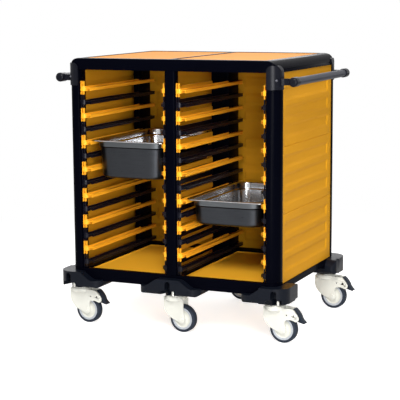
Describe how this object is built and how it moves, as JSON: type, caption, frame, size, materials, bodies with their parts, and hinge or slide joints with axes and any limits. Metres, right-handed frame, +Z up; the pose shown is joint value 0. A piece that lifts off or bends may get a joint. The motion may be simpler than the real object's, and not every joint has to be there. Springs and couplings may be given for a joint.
{
  "type": "enclosed tray cart",
  "caption": "Two-bay cart for food pans and trays: black frame, yellow panels and slides, open front, push handles, corner bumpers and swivel castors.",
  "frame": {"origin": "On the floor under the middle of the whole object, handles and brake pedals included; the cart's own middle plane stands at X = -16 mm.", "axes": "+X to the cart's right as seen from its open front, +Y from the open front to the back, +Z up. The open front faces -Y."},
  "size_m": [1.047, 0.75, 1.057],
  "materials": {
    "black_frame": "near-black satin moulding",
    "yellow_panel": "amber yellow satin moulding",
    "yellow_runner": "bright amber moulding",
    "black_runner": "near-black moulding",
    "slate_bumper": "dark slate soft moulding",
    "handle_coat": "slate grey coated tube",
    "black_bracket": "near-black satin moulding",
    "fastener_steel": "plain steel",
    "castor_ivory": "off-white moulding",
    "castor_steel": "zinc plated",
    "tyre_grey": "dark slate grey rubber",
    "pedal_grey": "dark slate grey moulding",
    "stainless": "brushed stainless steel"
  },
  "bodies": {
    "cart": {"base_frame": "black_frame", "top_frame": "black_frame", "post_front_left": "black_frame", "post_front_middle": "black_frame", "post_front_right": "black_frame", "post_rear_left": "black_frame", "post_rear_middle": "black_frame", "post_rear_right": "black_frame", "top_panel_left": "yellow_panel", "top_panel_right": "yellow_panel", "side_panel_left": "yellow_panel", "side_panel_right": "yellow_panel", "back_panel_left": "yellow_panel", "back_panel_right": "yellow_panel", "floor_panel_left": "yellow_panel", "floor_panel_right": "yellow_panel", "bumper_front_left": "slate_bumper", "bumper_front_middle": "slate_bumper", "bumper_front_right": "slate_bumper", "bumper_rear_left": "slate_bumper", "bumper_rear_middle": "slate_bumper", "bumper_rear_right": "slate_bumper", "runners_left_yellow": "yellow_runner", "runners_left_black": "black_runner", "runners_middle_yellow": "yellow_runner", "runners_middle_black": "black_runner", "runners_right_yellow": "yellow_runner", "runners_right_black": "black_runner", "handle_tube_left": "handle_coat", "handle_tube_right": "handle_coat", "handle_bracket_front_left": "black_bracket", "handle_bracket_front_right": "black_bracket", "handle_bracket_rear_left": "black_bracket", "handle_bracket_rear_right": "black_bracket", "handle_screws": "fastener_steel", "castor_stems": "castor_steel"},
    "swivel_front_left": {"fork_front_left": "castor_ivory"},
    "wheel_front_left": {"hub_front_left": "castor_ivory", "tyre_front_left": "tyre_grey"},
    "pedal_front_left": {"pedal_front_left": "pedal_grey"},
    "swivel_front_middle": {"fork_front_middle": "castor_ivory"},
    "wheel_front_middle": {"hub_front_middle": "castor_ivory", "tyre_front_middle": "tyre_grey"},
    "swivel_front_right": {"fork_front_right": "castor_ivory"},
    "wheel_front_right": {"hub_front_right": "castor_ivory", "tyre_front_right": "tyre_grey"},
    "pedal_front_right": {"pedal_front_right": "pedal_grey"},
    "swivel_rear_left": {"fork_rear_left": "castor_ivory"},
    "wheel_rear_left": {"hub_rear_left": "castor_ivory", "tyre_rear_left": "tyre_grey"},
    "pedal_rear_left": {"pedal_rear_left": "pedal_grey"},
    "swivel_rear_middle": {"fork_rear_middle": "castor_ivory"},
    "wheel_rear_middle": {"hub_rear_middle": "castor_ivory", "tyre_rear_middle": "tyre_grey"},
    "swivel_rear_right": {"fork_rear_right": "castor_ivory"},
    "wheel_rear_right": {"hub_rear_right": "castor_ivory", "tyre_rear_right": "tyre_grey"},
    "pedal_rear_right": {"pedal_rear_right": "pedal_grey"},
    "pan_left": {"pan_left": "stainless"},
    "pan_right": {"pan_right": "stainless"}
  },
  "joints": [
    {"name": "swivel_front_left", "type": "hinge", "parent": "cart", "child": "swivel_front_left", "pos_m": [-0.431, -0.3, 0.12], "axis": [0, 0, 1], "continuous": true},
    {"name": "spin_front_left", "type": "hinge", "parent": "swivel_front_left", "child": "wheel_front_left", "pos_m": [-0.39414, -0.30323, 0.054], "axis": [0.0872, 0.9962, 0], "continuous": true},
    {"name": "brake_front_left", "type": "hinge", "parent": "swivel_front_left", "child": "pedal_front_left", "pos_m": [-0.33736, -0.30819, 0.1005], "axis": [0.0872, 0.9962, 0], "range_deg": [0, 12]},
    {"name": "swivel_front_middle", "type": "hinge", "parent": "cart", "child": "swivel_front_middle", "pos_m": [-0.016, -0.3, 0.12], "axis": [0, 0, 1], "continuous": true},
    {"name": "spin_front_middle", "type": "hinge", "parent": "swivel_front_middle", "child": "wheel_front_middle", "pos_m": [0.02086, -0.30323, 0.054], "axis": [0.0872, 0.9962, 0], "continuous": true},
    {"name": "swivel_front_right", "type": "hinge", "parent": "cart", "child": "swivel_front_right", "pos_m": [0.399, -0.3, 0.12], "axis": [0, 0, 1], "continuous": true},
    {"name": "spin_front_right", "type": "hinge", "parent": "swivel_front_right", "child": "wheel_front_right", "pos_m": [0.43586, -0.30323, 0.054], "axis": [0.0872, 0.9962, 0], "continuous": true},
    {"name": "brake_front_right", "type": "hinge", "parent": "swivel_front_right", "child": "pedal_front_right", "pos_m": [0.49264, -0.30819, 0.1005], "axis": [0.0872, 0.9962, 0], "range_deg": [0, 12]},
    {"name": "swivel_rear_left", "type": "hinge", "parent": "cart", "child": "swivel_rear_left", "pos_m": [-0.431, 0.3, 0.12], "axis": [0, 0, 1], "continuous": true},
    {"name": "spin_rear_left", "type": "hinge", "parent": "swivel_rear_left", "child": "wheel_rear_left", "pos_m": [-0.39414, 0.29678, 0.054], "axis": [0.0872, 0.9962, 0], "continuous": true},
    {"name": "brake_rear_left", "type": "hinge", "parent": "swivel_rear_left", "child": "pedal_rear_left", "pos_m": [-0.33736, 0.29181, 0.1005], "axis": [0.0872, 0.9962, 0], "range_deg": [0, 12]},
    {"name": "swivel_rear_middle", "type": "hinge", "parent": "cart", "child": "swivel_rear_middle", "pos_m": [-0.016, 0.3, 0.12], "axis": [0, 0, 1], "continuous": true},
    {"name": "spin_rear_middle", "type": "hinge", "parent": "swivel_rear_middle", "child": "wheel_rear_middle", "pos_m": [0.02086, 0.29678, 0.054], "axis": [0.0872, 0.9962, 0], "continuous": true},
    {"name": "swivel_rear_right", "type": "hinge", "parent": "cart", "child": "swivel_rear_right", "pos_m": [0.399, 0.3, 0.12], "axis": [0, 0, 1], "continuous": true},
    {"name": "spin_rear_right", "type": "hinge", "parent": "swivel_rear_right", "child": "wheel_rear_right", "pos_m": [0.43586, 0.29678, 0.054], "axis": [0.0872, 0.9962, 0], "continuous": true},
    {"name": "brake_rear_right", "type": "hinge", "parent": "swivel_rear_right", "child": "pedal_rear_right", "pos_m": [0.49264, 0.29181, 0.1005], "axis": [0.0872, 0.9962, 0], "range_deg": [0, 12]},
    {"name": "pan_left_slide", "type": "slide", "parent": "cart", "child": "pan_left", "axis": [0, -1, 0], "range_m": [0, 0.5]},
    {"name": "pan_right_slide", "type": "slide", "parent": "cart", "child": "pan_right", "axis": [0, -1, 0], "range_m": [0, 0.5]}
  ]
}
